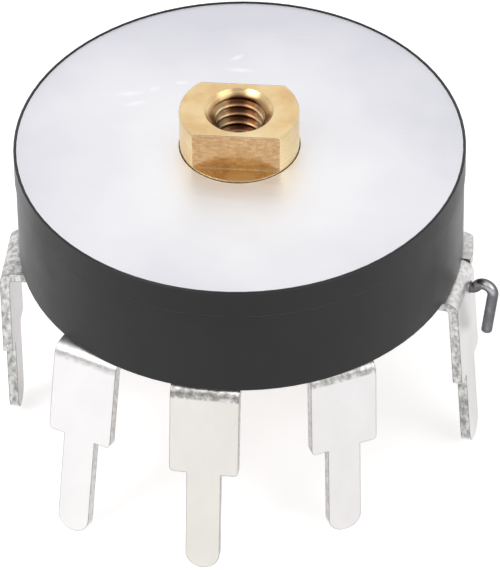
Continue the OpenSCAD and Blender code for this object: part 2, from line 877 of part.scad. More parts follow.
// Straight piece of wire along +X; what follows it is placed at its end
module wire_run(length) {
  rotate([0, 90, 0])
    cylinder(d = wire_d, h = length);
  translate([length, 0, 0])
    children();
}

// Straight piece of wire that takes in the end of a curved one, a hair thicker than it
module wire_lead(length) {
  translate([-join, 0, 0])
    rotate([0, 90, 0])
      cylinder(d = wire_d + join, h = length + join);
  translate([length, 0, 0])
    children();
}

// Bent piece of wire that starts along +X and turns to +Z, or to -Z for a negative angle
module wire_bend(radius, angle) {
  up = angle > 0 ? 1 : -1;
  start = angle > 0 ? -90 : 90 + angle;
  translate([0, 0, up * radius]) {
    rotate([90, 0, 0])
      rotate([0, 0, start])
        rotate_extrude(angle = abs(angle))
          translate([radius, 0])
            circle(d = wire_d);
    rotate([0, -angle, 0])
      translate([0, 0, -up * radius])
        children();
  }
}

// Part of the wire that follows a circle round the shaft
module wire_arc(from_angle, to_angle) {
  rotate([0, 0, from_angle])
    translate([0, 0, wire_z])
      rotate_extrude(angle = to_angle - from_angle)
        translate([wire_r, 0])
          circle(d = wire_d);
}

// Kink that dips towards the shaft and comes back to the wire's circle
module wire_kink() {
  rotate([0, 0, kink_angle + kink_half])
    translate([wire_r, 0, wire_z])
      rotate([-90, 0, -90])
        wire_bend(kink_in_r, -(kink_slope + kink_half))
          wire_run(kink_run)
            wire_bend(kink_tip_r, 2 * kink_slope)
              wire_run(kink_run)
                wire_bend(kink_in_r, -(kink_slope + kink_half));
}

// Riser through the board, and the tail that ends in the hook
module wire_tail() {
  riser_l = wire_z - riser_bend_r - tail_z - tail_bend_r;
  rotate([0, 0, riser_angle])
    translate([wire_r, 0, wire_z])
      rotate([0, 0, 90])
        wire_lead(riser_lead)
          wire_bend(riser_bend_r, -90)
            wire_run(riser_l)
              rotate([90 + riser_angle - tail_turn, 0, 0])
                wire_bend(tail_bend_r, 90)
                  wire_run(tail_l)
                    wire_bend(hook_r, hook_rise)
                      wire_bend(hook_r, -(hook_rise + 90 + hook_lean))
                        wire_run(hook_l);
}

// Spring wire of the switch: curved arm with its kink, riser, and hooked tail
module switch_spring() {
  color([0.36, 0.36, 0.37]) {
    wire_arc(wire_end_angle, kink_angle - kink_half);
    wire_kink();
    wire_arc(kink_angle + kink_half, riser_angle);
    wire_tail();
  }
}

// Steel washer under the board, held by the shaft's riveted end
module end_washer() {
  color([0.70, 0.70, 0.72])
    ring(neck_r + seat_gap, end_washer_d / 2, bottom_z - end_gap - end_washer_t,
      bottom_z - end_gap);
}

upper_case();
lower_case();
cover_disc();
shaft();
thrust_washer();
rotor();
wiper();
base_board();
carbon_track();
end_pads();
collector_ring();
track_start_terminal();
wiper_terminal();
track_end_terminal();
switch_in_terminal();
switch_out_terminal();
terminal_eyelets();
fixed_contact();
contact_button();
switch_spring();
end_washer();
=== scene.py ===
"""Looks of the switched potentiometer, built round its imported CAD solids."""

import math

import bmesh
import bpy
from mathutils import Matrix, Vector


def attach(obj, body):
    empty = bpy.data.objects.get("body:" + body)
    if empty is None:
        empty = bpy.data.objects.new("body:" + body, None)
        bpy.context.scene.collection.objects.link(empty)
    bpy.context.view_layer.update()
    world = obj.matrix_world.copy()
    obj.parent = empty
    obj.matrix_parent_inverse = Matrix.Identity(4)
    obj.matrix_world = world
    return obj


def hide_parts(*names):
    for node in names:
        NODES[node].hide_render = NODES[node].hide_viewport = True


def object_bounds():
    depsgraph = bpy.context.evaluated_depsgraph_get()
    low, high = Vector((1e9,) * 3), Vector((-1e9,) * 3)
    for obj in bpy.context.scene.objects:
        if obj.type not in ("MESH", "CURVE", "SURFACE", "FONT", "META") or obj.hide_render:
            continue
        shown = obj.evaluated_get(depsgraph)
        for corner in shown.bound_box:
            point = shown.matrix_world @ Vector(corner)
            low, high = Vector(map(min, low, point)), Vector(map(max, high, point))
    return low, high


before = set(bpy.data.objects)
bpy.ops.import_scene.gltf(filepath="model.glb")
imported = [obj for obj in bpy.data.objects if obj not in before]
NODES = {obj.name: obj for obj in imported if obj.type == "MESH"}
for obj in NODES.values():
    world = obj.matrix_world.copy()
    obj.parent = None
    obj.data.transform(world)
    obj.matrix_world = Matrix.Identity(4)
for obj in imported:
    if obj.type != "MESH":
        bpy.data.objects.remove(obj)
cad_box = [list(v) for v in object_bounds()]

MM = 0.001

# ---------------------------------------------------------------- the part's own sizes
# In mm and degrees, as in the part's source
HEAD_Z = 1.55           # top of the shaft's head
HOLE_END_Z = -2.45      # bottom of its threaded hole
MOUTH_R = 1.225         # top of the hole's countersink
CREST_R = 0.80          # the thread's crests, where the solid has a plain bore
FLATS_TURN = 3.0        # turn of the head's two flats
BEND_END_Z = -5.03      # lower end of the terminals' bends
TERMINAL_DIRECTIONS = {
    "track_start_terminal": -110.5,
    "wiper_terminal": -91.0,
    "track_end_terminal": -61.0,
    "switch_in_terminal": -179.0,
    "switch_out_terminal": -7.0,
}

# ---------------------------------------------------------------- camera
IMAGE_W, IMAGE_H = 500, 570             # the photograph's size in pixels
ORIGIN_PX = (239.6, 143.7)              # the frame's origin in the photograph
PIXELS_PER_MM = 28.3                    # at the origin
AZIMUTH, ELEVATION, ROLL = math.radians(8.5), math.radians(40.2), math.radians(-0.99)
DISTANCE = 200.0 * MM
SENSOR_WIDTH = 36.0
CLIP_START, CLIP_END = 0.01, 5.0


def outward(azimuth, elevation):
    """Direction from the part to a camera or lamp: azimuth 0 is in front, at -Y."""
    return Vector((math.sin(azimuth) * math.cos(elevation),
                   -math.cos(azimuth) * math.cos(elevation), math.sin(elevation)))


def make_camera():
    """Camera at the photograph's angle, aimed so that the origin falls on its pixel."""
    back = outward(AZIMUTH, ELEVATION)
    right = Vector((math.cos(AZIMUTH), math.sin(AZIMUTH), 0))
    up = back.cross(right)
    c, s = math.cos(ROLL), math.sin(ROLL)
    x_axis, y_axis = c * right + s * up, c * up - s * right
    basis = Matrix((x_axis, y_axis, back)).transposed()
    focal_px = PIXELS_PER_MM * DISTANCE / MM
    aim = Vector((ORIGIN_PX[0] - IMAGE_W / 2, IMAGE_H / 2 - ORIGIN_PX[1], -focal_px))
    turn = aim.normalized().rotation_difference(Vector((0, 0, -1))).to_matrix()
    data = bpy.data.cameras.new("camera")
    data.sensor_width = SENSOR_WIDTH
    data.lens = focal_px / max(IMAGE_W, IMAGE_H) * SENSOR_WIDTH
    data.clip_start, data.clip_end = CLIP_START, CLIP_END
    camera = bpy.data.objects.new("camera", data)
    camera.matrix_world = Matrix.Translation(back * DISTANCE) @ (basis @ turn).to_4x4()
    bpy.context.scene.collection.objects.link(camera)
    bpy.context.scene.camera = camera


# ---------------------------------------------------------------- node helpers
WHITE = (1.0, 1.0, 1.0)
NOISE_SPAN = (0.3, 0.7)                 # where nearly all of a noise's values lie
MIX_SHARE, MIX_FIRST, MIX_SECOND, MIX_RESULT = 0, 6, 7, 2   # a Mix node's colour sockets
EDGE_SPAN = (0.90, 0.995)               # cosine from the plain to the rounded normal
EDGE_SAMPLES, ROUND_SAMPLES = 8, 6


def rgba(colour):
    """The colour with full opacity; a socket stays as it is."""
    return colour if isinstance(colour, bpy.types.NodeSocket) else (*colour, 1.0)


def mm(*lengths):
    """The lengths, given in mm, in the scene's metres."""
    return [length * MM for length in lengths]


def sideways(degrees):
    """Level direction at right angles to the one at this angle."""
    turn = math.radians(degrees)
    return (-math.sin(turn), math.cos(turn), 0.0)


class Tree:
    """A node tree, with short calls for the nodes that are used here."""

    def __init__(self, tree):
        self.tree = tree

    def node(self, kind, inputs=None, **settings):
        """New node with these settings, and a value or a socket at each named input."""
        made = self.tree.nodes.new(kind)
        for key, value in settings.items():
            setattr(made, key, value)
        for key, value in (inputs or {}).items():
            if isinstance(value, bpy.types.NodeSocket):
                self.tree.links.new(value, made.inputs[key])
            else:
                made.inputs[key].default_value = value
        return made

    def maths(self, operation, a, b=0.0):
        return self.node("ShaderNodeMath", {0: a, 1: b}, operation=operation).outputs[0]

    def add(self, a, b):
        return self.maths("ADD", a, b)

    def times(self, a, b):
        return self.maths("MULTIPLY", a, b)

    def mean(self, a, b):
        return self.times(self.add(a, b), 0.5)

    def either(self, a, b):
        """The larger of two values, so 1 where either is 1."""
        return self.maths("MAXIMUM", a, b)

    def vector_maths(self, operation, a, b=None):
        inputs = {0: a} if b is None else {0: a, 1: b}
        made = self.node("ShaderNodeVectorMath", inputs, operation=operation)
        return made.outputs["Value"]

    def ramp(self, value, low, high, to_low, to_high, shape="LINEAR"):
        """The value's range from low to high, spread from to_low to to_high."""
        made = self.node("ShaderNodeMapRange", {
            "Value": value, "From Min": low, "From Max": high, "To Min": to_low,
            "To Max": to_high}, interpolation_type=shape)
        return made.outputs["Result"]

    def rise(self, value, low, high, top=1.0):
        """0 up to the low value, rising to the top at the high one."""
        return self.ramp(value, low, high, 0.0, top)

    def fall(self, value, low, high):
        """1 up to the low value, falling to 0 at the high one."""
        return self.ramp(value, low, high, 1.0, 0.0)

    def mirror_rays(self, path):
        """1 for a ray that comes off or through the part's surface, and 0 for others."""
        return self.either(path["Is Glossy Ray"], path["Is Transmission Ray"])

    def background(self, tint, level=1.0):
        """Even light of this tint, as strong as the level."""
        made = self.node("ShaderNodeBackground", {"Color": rgba(tint), "Strength": level})
        return made.outputs[0]

    def shader_mix(self, share, first, second):
        """Blend of two shaders: the share is that of the second one."""
        made = self.node("ShaderNodeMixShader", {"Fac": share, 1: first, 2: second})
        return made.outputs[0]


class Shade(Tree):
    """A material, with constants at some of its surface's inputs."""

    def __init__(self, name, constants=None):
        self.material = bpy.data.materials.new(name)
        self.material.use_nodes = True
        super().__init__(self.material.node_tree)
        self.surface = self.tree.nodes["Principled BSDF"]
        for key, value in (constants or {}).items():
            self.surface.inputs[key].default_value = value
        coordinates = self.node("ShaderNodeTexCoord")
        self.place = coordinates.outputs["Object"]
        self.facing = coordinates.outputs["Normal"]

    def feed(self, name, socket):
        self.tree.links.new(socket, self.surface.inputs[name])

    def axes(self):
        """The surface's place, split into outputs X, Y and Z."""
        return self.node("ShaderNodeSeparateXYZ", {"Vector": self.place}).outputs

    def radius(self, axes):
        """Distance from the shaft's axis."""
        return self.maths("SQRT", self.add(self.maths("POWER", axes["X"], 2.0),
                                           self.maths("POWER", axes["Y"], 2.0)))

    def noise_at(self, where, detail=3.0, rough=0.5):
        made = self.node("ShaderNodeTexNoise", {
            "Vector": where, "Scale": 1.0, "Detail": detail, "Roughness": rough})
        return made.outputs["Fac"]

    def noise(self, cycles, detail=3.0, rough=0.5, turn=0.0):
        """Noise with so many cycles per mm, in all directions or along x, y and z. The
        turn about z is in radians."""
        x, y, z = cycles if isinstance(cycles, tuple) else (cycles,) * 3
        where = self.node("ShaderNodeMapping", {
            "Vector": self.place, "Rotation": (0, 0, turn),
            "Scale": (x / MM, y / MM, z / MM)})
        return self.noise_at(where.outputs["Vector"], detail, rough)

    def spread(self, noise, low, high):
        """Spreads a noise over a range."""
        return self.ramp(noise, *NOISE_SPAN, low, high)

    def colours(self, value, stops):
        """Colour ramp over the value, from stops of (place, colour)."""
        made = self.node("ShaderNodeValToRGB", {"Fac": value})
        elements = made.color_ramp.elements
        while len(elements) < len(stops):
            elements.new(0.5)
        for element, (place, colour) in zip(elements, stops):
            element.position = place
            element.color = rgba(colour)
        return made.outputs["Color"]

    def two_tone(self, value, tones, span=NOISE_SPAN):
        """Colour from a dark to a light tone, over this span of the value."""
        return self.colours(value, list(zip(span, tones)))

    def mix(self, share, first, second):
        """Blend of two colours: the share is that of the second one."""
        made = self.node("ShaderNodeMix", {
            MIX_SHARE: share, MIX_FIRST: rgba(first), MIX_SECOND: rgba(second)},
            data_type="RGBA")
        return made.outputs[MIX_RESULT]

    def lay(self, under, over, where, share):
        """Lays one colour over another with this share, where the mask is 1."""
        return self.mix(self.times(where, share), under, over)

    def toward(self, direction, low, high):
        """1 where the surface faces the direction or its opposite, 0 where it doesn't."""
        cosine = self.vector_maths("DOT_PRODUCT", self.facing, direction)
        return self.rise(self.maths("ABSOLUTE", cosine), low, high)

    def rounded(self, radius, samples):
        """The surface's normal, over edges that are rounded to a radius in mm."""
        made = self.node("ShaderNodeBevel", {"Radius": radius * MM}, samples=samples)
        return made.outputs["Normal"]

    def edges(self, width):
        """1 on the piece's edges, within a width in mm, and 0 on its plain faces."""
        near = self.rounded(width, EDGE_SAMPLES)
        plain = self.node("ShaderNodeNewGeometry").outputs["Normal"]
        return self.fall(self.vector_maths("DOT_PRODUCT", near, plain), *EDGE_SPAN)

    def facing_away(self):
        """0 where the surface faces the ray, rising to 1 along its outline."""
        return self.node("ShaderNodeLayerWeight", {"Blend": 0.5}).outputs["Facing"]

    def bumps(self, layers, edge=0.0):
        """Bump layers of (height socket, depth in mm), over edges that are rounded to a
        radius in mm if one is given."""
        normal = self.rounded(edge, ROUND_SAMPLES) if edge else None
        for height, depth in layers:
            inputs = {"Height": height, "Distance": depth * MM, "Strength": 1.0}
            if normal is not None:
                inputs["Normal"] = normal
            normal = self.node("ShaderNodeBump", inputs).outputs["Normal"]
        self.feed("Normal", normal)


# ---------------------------------------------------------------- plain materials
SOFT_EDGE, FINE_EDGE = 0.05, 0.03       # radii in mm of the edges' rounding
# Painted sheen on glossy plastic: a painted highlight along the edges, with its width in
# mm and share, and painted grazing reflection towards the outline
PAINTED_SHEEN_EDGE, PAINTED_SHEEN_EDGE_SHARE = 0.05, 0.5
PAINTED_SHEEN_POWER, PAINTED_SHEEN_START = 3.0, 0.25      # how the painted sheen grows towards the outline
TONE_SPAN, METAL_SPAN = (0.35, 0.65), (0.35, 0.62)
METAL_STREAKS = (1.0, 1.0, 20.0)        # cycles per mm
# Colour of the painted sheen on the case
CASE_PAINTED_SHEEN = (0.17, 0.168, 0.17)
CASE_IOR = 1.38
LAMINATE_TONES = ((0.20, 0.10, 0.045), (0.38, 0.21, 0.10))
LAMINATE_ROUGH = (0.40, 0.55)
# Painted reflection on the wire: tones from where it faces the ray, bright, to its
# outline, dark
WIRE_SHEEN_TONES = ((0.05, (0.72, 0.72, 0.73)), (0.28, (0.20, 0.20, 0.21)),
              (0.75, (0.05, 0.05, 0.052)))
WIRE_ROUGH = (0.26, 0.36)
WIRE_DRIFT = 0.08                       # how much its tone drifts along the wire


def plastic(name, tones, rough, ior=1.5, painted_light=None):
    """Moulded plastic: a fine even grain, a slow change of shade and gloss, and, if its
    colour
    is given, a painted sheen: painted highlights along the edges and painted grazing
    reflection towards the outline."""
    m = Shade(name, {"IOR": ior})
    slow = m.noise(0.35, detail=4.0)
    fine = m.noise(3.0)
    body = m.two_tone(slow, tones, TONE_SPAN)
    if painted_light:
        # Painted grazing reflection towards the outline, then a painted highlight along
        # the edges
        outline = m.maths("POWER", m.facing_away(), PAINTED_SHEEN_POWER)
        body = m.mix(m.rise(outline, PAINTED_SHEEN_START, 1.0), body, painted_light)
        body = m.lay(body, painted_light, m.edges(PAINTED_SHEEN_EDGE), PAINTED_SHEEN_EDGE_SHARE)
    m.feed("Base Color", body)
    m.feed("Roughness", m.spread(slow, *rough))
    m.bumps([(fine, 0.004)], SOFT_EDGE)
    return m.material


def metal(name, tones, rough):
    """Metal with fine streaks at each height, and a slow change of tone and gloss."""
    m = Shade(name, {"Metallic": 1.0})
    slow = m.noise(0.6, detail=4.0)
    lines = m.noise(METAL_STREAKS, detail=4.0, rough=0.6)
    m.feed("Base Color", m.two_tone(m.mean(slow, lines), tones, METAL_SPAN))
    m.feed("Roughness", m.spread(lines, *rough))
    m.bumps([(slow, 0.006), (lines, 0.002)], FINE_EDGE)
    return m.material


def printed_film(name, tones, rough, metallic):
    """Printed film with the grain of its screen."""
    m = Shade(name, {"Metallic": metallic})
    grain = m.noise(6.0, detail=4.0)
    m.feed("Base Color", m.two_tone(grain, tones, TONE_SPAN))
    m.feed("Roughness", m.spread(grain, *rough))
    m.bumps([(grain, 0.003)])
    return m.material


def laminate_material():
    """Brown paper laminate with faint fibres and a semi-gloss face."""
    m = Shade("laminate")
    fibre = m.noise((0.8, 5.0, 9.0), detail=5.0, rough=0.6)
    m.feed("Base Color", m.two_tone(fibre, LAMINATE_TONES))
    m.feed("Roughness", m.spread(fibre, *LAMINATE_ROUGH))
    m.bumps([(fibre, 0.003)], FINE_EDGE)
    return m.material


def wire_material():
    """Drawn spring wire with a painted reflection: painted bright on the side that is seen
    and dark towards its outline.
    """
    m = Shade("spring_wire", {"Metallic": 1.0})
    marks = m.noise(3.0, detail=4.0)
    tone = m.add(m.facing_away(), m.spread(marks, -WIRE_DRIFT, WIRE_DRIFT))
    m.feed("Base Color", m.colours(tone, WIRE_SHEEN_TONES))
    m.feed("Roughness", m.spread(marks, *WIRE_ROUGH))
    m.bumps([(marks, 0.001)])
    return m.material


# ---------------------------------------------------------------- brass
BRASS_TONES = ((0.36, (0.74, 0.48, 0.22)), (0.50, (0.86, 0.64, 0.34)),
               (0.64, (0.93, 0.76, 0.46)))
# Tones of the flats: darker than the turned brass as painted shade, with a milled grain
SHADED_FLAT_TONES = ((0.38, (0.55, 0.30, 0.135)), (0.50, (0.68, 0.41, 0.20)),
                (0.64, (0.82, 0.56, 0.31)))
MILLED_SPAN, SHADED_FLAT_SHARE = (0.97, 0.995), 0.85
BRASS_ROUGH = (0.20, 0.36)
FACING_CYCLES = 14.0                    # turned rings per mm on the end face
# Width in mm, share and colour of the painted highlight band and the thin painted line of
# shade along the edges
EDGE_HIGHLIGHT_BAND = (0.11, 0.60, (0.96, 0.86, 0.60))
EDGE_SHADE_LINE = (0.035, 0.75, (0.22, 0.11, 0.045))
# Colours of the thread, painted as dark shade in the middle of the hole and as glints at
# its
#  sides, which lie between these distances in mm from the shaft's YZ plane
GROOVE_MIDDLE, GROOVE_SIDE = (0.085, 0.032, 0.013), (0.40, 0.25, 0.12)
CREST_MIDDLE, CREST_SIDE = (0.42, 0.24, 0.12), (0.96, 0.82, 0.56)
SIDE_SPAN = (0.42, 0.72)
# In mm: the painted shade in the hole ends between these radii and depths, and the painted
#  glints on the crests between these heights of the thread's wall over its crest radius
HOLE_SHADE_R = (1.08, 1.18)
HOLE_SHADE_DEPTH = (0.22, 0.10)
CREST_GLINT_HEIGHT = (0.02, 0.08)


def thread_colours(m, axes, radius):
    """Grooves painted dark as shade and crests painted bright as glints, with painted
    glints at the sides of the hole.
    """
    side = m.rise(m.maths("ABSOLUTE", axes["X"]), *mm(*SIDE_SPAN))
    crest_glint = m.fall(radius, *mm(CREST_R + CREST_GLINT_HEIGHT[0], CREST_R + CREST_GLINT_HEIGHT[1]))
    return m.mix(crest_glint, m.mix(side, GROOVE_MIDDLE, GROOVE_SIDE),
                 m.mix(side, CREST_MIDDLE, CREST_SIDE))


def brass_material():
    """Turned and milled brass: rings at each height and on the end face, flats painted
    darker as shade with a milled grain, a painted highlight band and a painted line of
    shade along the edges, and a thread painted dark as shade in the hole, with painted
    glints on its crests and at its sides."""
    m = Shade("brass", {"Metallic": 1.0})
    slow = m.noise(0.8, detail=4.0)
    rings = m.noise((0.5, 0.5, 16.0), detail=5.0, rough=0.65)
    tooth = m.noise((4.5, 4.5, 10.0), detail=5.0, rough=0.75)
    axes = m.axes()
    radius = m.radius(axes)
    turned = m.node("ShaderNodeCombineXYZ", {"X": m.times(radius, FACING_CYCLES / MM)})
    faces = m.noise_at(turned.outputs["Vector"])
    body = m.colours(m.mean(slow, rings), BRASS_TONES)
    # The flats are painted darker, as painted shade
    flats = m.toward(sideways(FLATS_TURN), *MILLED_SPAN)
    body = m.lay(body, m.colours(tooth, SHADED_FLAT_TONES), flats, SHADED_FLAT_SHARE)
    # Painted highlight band and painted line of shade along the edges
    for width, share, colour in (EDGE_HIGHLIGHT_BAND, EDGE_SHADE_LINE):
        body = m.lay(body, colour, m.edges(width), share)
    # Painted shade in the threaded hole, below its mouth
    inside = m.fall(radius, *mm(*HOLE_SHADE_R))
    below = m.fall(axes["Z"], *mm(HEAD_Z - HOLE_SHADE_DEPTH[0], HEAD_Z - HOLE_SHADE_DEPTH[1]))
    m.feed("Base Color", m.mix(m.times(inside, below), body,
                               thread_colours(m, axes, radius)))
    m.feed("Roughness", m.spread(rings, *BRASS_ROUGH))
    m.bumps([(slow, 0.006), (rings, 0.004), (faces, 0.0012)], SOFT_EDGE)
    return m.material


# ---------------------------------------------------------------- cover
# Tones of the cover over its level of painted light: darker and cooler where shade is
# painted, near white where reflection is painted
COVER_TONES = ((0.05, (0.735, 0.73, 0.775)), (0.40, (0.86, 0.858, 0.882)),
               (0.90, (0.99, 0.99, 0.985)))
COVER_METALLIC = 0.85
COVER_ROUGH = (0.42, 0.54)
# Painted reflection and shade on the cover: its level at an inner and an outer radius in
# mm,
#  what the front and the back add to it at so many mm from the middle, and how much its
#  tone drifts at random
COVER_PAINTED_LIGHT_R, COVER_PAINTED_LIGHT_AT_R = (2.5, 8.0), (0.80, 0.26)
COVER_PAINTED_LIGHT_Y, COVER_PAINTED_LIGHT_AT_Y = 7.0, (0.12, -0.30)
COVER_TONE_DRIFT = 0.20
LINES_TURN, HAIRS_TURN = 0.35, -0.55    # radians
HAIR_SPAN = (0.70, 0.74)                # the noise's peaks, which become hair scratches
# Painted highlight along the cover's edge: width in mm, share and colour
COVER_HIGHLIGHT_EDGE, COVER_HIGHLIGHT_EDGE_SHARE, COVER_HIGHLIGHT_EDGE_COLOUR = 0.10, 0.9, (0.99, 0.99, 0.99)
# Share of white painted into each dent as a painted highlight; each dent is bumped as well
DENT_HIGHLIGHT_SHARE = 0.85
# Small dents in the cover: place in mm, turn in radians, and half length and width in mm
DENTS = ((-4.26, 2.28, 0.25, 0.60, 0.17), (-3.99, 1.77, 0.40, 0.50, 0.16),
         (-3.45, 2.65, 0.60, 0.26, 0.15), (-2.53, 3.10, 0.10, 0.34, 0.14),
         (-0.54, 4.06, 0.05, 0.60, 0.15), (-0.75, 4.75, 0.70, 0.36, 0.13))


def dent_mask(m):
    """1 in the middle of each dent, falling to 0 at its outline."""
    mask = None
    for x, y, turn, length, width in DENTS:
        spot = m.node("ShaderNodeMapping", {
            "Vector": m.place, "Location": (*mm(x, y), 0.0), "Rotation": (0, 0, turn),
            "Scale": (*mm(length, width), 1.0)}, vector_type="TEXTURE")
        reach = m.vector_maths("LENGTH", spot.outputs["Vector"])
        dent = m.fall(reach, 0.0, 1.0)
        mask = dent if mask is None else m.add(mask, dent)
    return mask


def cover_material():
    """Milky metal cover: painted reflection, pale round the shaft and in front, and
    painted shade, darker and cooler towards the rim and the back, with faint rolling
    lines, hair scratches, a few dents with a painted highlight in each, and a painted
    highlight along the edge."""
    m = Shade("cover_metal", {"Metallic": COVER_METALLIC})
    slow = m.noise(0.16)
    lines = m.noise((0.25, 9.0, 1.0), detail=4.0, rough=0.6, turn=LINES_TURN)
    hairs = m.noise((0.5, 12.0, 1.0), detail=2.0, rough=0.4, turn=HAIRS_TURN)
    hair = m.rise(hairs, *HAIR_SPAN)
    axes = m.axes()
    # Painted reflection and shade: lighter round the shaft and in front, darker towards
    # the rim and the back, with a random drift
    painted_light = m.ramp(m.radius(axes), *mm(*COVER_PAINTED_LIGHT_R), *COVER_PAINTED_LIGHT_AT_R)
    painted_light = m.add(painted_light, m.ramp(axes["Y"], *mm(-COVER_PAINTED_LIGHT_Y, COVER_PAINTED_LIGHT_Y), *COVER_PAINTED_LIGHT_AT_Y))
    painted_light = m.add(painted_light, m.spread(slow, -COVER_TONE_DRIFT, COVER_TONE_DRIFT))
    dents = dent_mask(m)
    # Each dent is painted white as a painted highlight, over its bump
    face = m.lay(m.colours(painted_light, COVER_TONES), WHITE, dents, DENT_HIGHLIGHT_SHARE)
    # Painted highlight along the cover's edge
    m.feed("Base Color", m.lay(face, COVER_HIGHLIGHT_EDGE_COLOUR, m.edges(COVER_HIGHLIGHT_EDGE),
                               COVER_HIGHLIGHT_EDGE_SHARE))
    m.feed("Roughness", m.spread(lines, *COVER_ROUGH))
    m.bumps([(slow, 0.03), (lines, 0.0008), (hair, 0.0015), (dents, 0.01)], FINE_EDGE)
    return m.material


# ---------------------------------------------------------------- terminals
# Speckled tones painted on the bend as painted shade, and the span of its noise
BEND_SHADE_TONES, BEND_SHADE_SPAN = ((0.30, 0.285, 0.26), (0.80, 0.785, 0.76)), (0.42, 0.60)
BEND_SHADE_FADE = 0.08                      # mm above the bend's end
SIDES_SPAN, SHEAR_SPAN = (0.90, 0.97), (0.38, 0.62)
PLATE_ROUGH = (0.34, 0.46)
# Painted shade along the terminals' edges: width in mm, share and colour
PLATE_EDGE_SHADE, PLATE_EDGE_SHADE_SHARE, PLATE_EDGE_SHADE_COLOUR = 0.05, 0.8, (0.14, 0.14, 0.135)
SOFT_SHEAR = ((0.66, 0.65, 0.64), (0.90, 0.89, 0.88))
ROUGH_SHEAR = ((0.36, 0.36, 0.35), (0.82, 0.81, 0.79))
# Tones of each terminal's plated faces and of its sheared sides, and the share of speckled
#  shade painted on its bend
# The tones differ from terminal to terminal as painted light: each terminal's are lighter
# or darker to how it is lit
TERMINAL_LOOKS = {
    "track_start_terminal": (
        ((0.93, 0.915, 0.905), (0.97, 0.95, 0.94)), SOFT_SHEAR, 0.30),
    "wiper_terminal": (
        ((0.81, 0.785, 0.73), (0.85, 0.825, 0.775)), SOFT_SHEAR, 0.80),
    "track_end_terminal": (
        ((0.83, 0.81, 0.80), (0.88, 0.855, 0.85)), SOFT_SHEAR, 0.70),
    "switch_in_terminal": (
        ((0.80, 0.80, 0.795), (0.88, 0.88, 0.875)), ROUGH_SHEAR, 0.75),
    "switch_out_terminal": (
        ((0.86, 0.845, 0.825), (0.93, 0.915, 0.90)), ROUGH_SHEAR, 0.40),
}


def terminal_material(name):
    """Plated strip: a soft even shine, a bend painted darker with speckle as painted
    shade, grainy sheared sides, and a thin painted line of shade along each edge."""
    plate_tones, shear_tones, bend_shade = TERMINAL_LOOKS[name]
    m = Shade("silver_plate_" + name, {"Metallic": 1.0})
    slow = m.noise((0.7, 0.7, 0.4))
    lines = m.noise((9.0, 9.0, 0.5), detail=4.0, rough=0.6)
    grain = m.noise((6.0, 6.0, 3.5), detail=4.0, rough=0.6)
    speckle = m.noise(5.0, rough=0.6)
    # Painted shade on the bend, fading out just above its end
    bend = m.rise(m.axes()["Z"], *mm(BEND_END_Z, BEND_END_Z + BEND_SHADE_FADE), top=bend_shade)
    plate = m.mix(bend, m.two_tone(slow, plate_tones),
                  m.two_tone(speckle, BEND_SHADE_TONES, BEND_SHADE_SPAN))
    sides = m.toward(sideways(TERMINAL_DIRECTIONS[name]), *SIDES_SPAN)
    plate = m.mix(sides, plate, m.two_tone(grain, shear_tones, SHEAR_SPAN))
    # Thin line of painted shade along each edge
    m.feed("Base Color", m.lay(plate, PLATE_EDGE_SHADE_COLOUR, m.edges(PLATE_EDGE_SHADE),
                               PLATE_EDGE_SHADE_SHARE))
    m.feed("Roughness", m.spread(lines, *PLATE_ROUGH))
    m.bumps([(slow, 0.008), (lines, 0.0006)], SOFT_EDGE)
    return m.material


# ---------------------------------------------------------------- threaded shaft
THREAD_PITCH = 0.40
THREAD_DEPTH = 0.19
THREAD_START = 0.36     # turns, so that the first groove opens high on the far side
# Shares of half a pitch: the crest's flat and the flank. The root's flat has the rest
CREST_FLAT, FLANK = 0.10, 0.78
RUN_OUT = 0.3           # height in mm over which the groove fades at the bottom
AROUND, DOWN = 144, 200 # points round the hole, and steps down it
SLACK = 0.002           # mm, for picking the bore's faces in the solid
LEVEL = 0.95            # cosine: a face this near to level isn't the bore's


def clamped(value):
    return min(1.0, max(0.0, value))


def thread_radius(height, angle):
    """Radius of the threaded hole's wall: cone at the mouth, and V grooves below it."""
    cone = MOUTH_R - (HEAD_Z - height)
    phase = (height / THREAD_PITCH - angle / (2 * math.pi) - THREAD_START) % 1.0
    rise = 1.0 - abs(2.0 * phase - 1.0)
    groove = clamped((rise - CREST_FLAT) / FLANK)
    fade = clamped((height - HOLE_END_Z) / RUN_OUT)
    return max(cone, CREST_R + THREAD_DEPTH * groove * fade)


def is_bore_face(face):
    """True for the faces of the solid's plain bore and countersink."""
    radii = [math.hypot(v.co.x, v.co.y) for v in face.verts]
    return (max(radii) < (MOUTH_R + SLACK) * MM
            and max(radii) > (CREST_R - SLACK) * MM
            and all(v.co.z > (HOLE_END_Z - SLACK) * MM for v in face.verts)
            and abs(face.normal.z) < LEVEL)


def thread_row(work, step):
    """One ring of points of the threaded wall, whose first and last rings are plain."""
    height = HEAD_Z + (HOLE_END_Z - HEAD_Z) * step / DOWN
    row = []
    for j in range(AROUND):
        angle = 2 * math.pi * j / AROUND
        radius = {0: MOUTH_R, DOWN: CREST_R}.get(step, thread_radius(height, angle))
        row.append(work.verts.new((radius * math.cos(angle) * MM,
                                   radius * math.sin(angle) * MM, height * MM)))
    return row


def threaded_shaft(material):
    """The CAD shaft with a threaded wall in place of its plain bore and countersink."""
    mesh = NODES["shaft"].data.copy()
    work = bmesh.new()
    work.from_mesh(mesh)
    bmesh.ops.delete(work, geom=[f for f in work.faces if is_bore_face(f)],
                     context="FACES")
    rows = [thread_row(work, step) for step in range(DOWN + 1)]
    for upper, lower in zip(rows, rows[1:]):
        for j in range(AROUND):
            k = (j + 1) % AROUND
            face = work.faces.new((upper[j], upper[k], lower[k], lower[j]))
            face.smooth = True
    work.to_mesh(mesh)
    work.free()
    mesh.materials.clear()
    mesh.materials.append(material)
    made = bpy.data.objects.new("shaft_turned", mesh)
    bpy.context.scene.collection.objects.link(made)
    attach(made, "spindle")
    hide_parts("shaft")


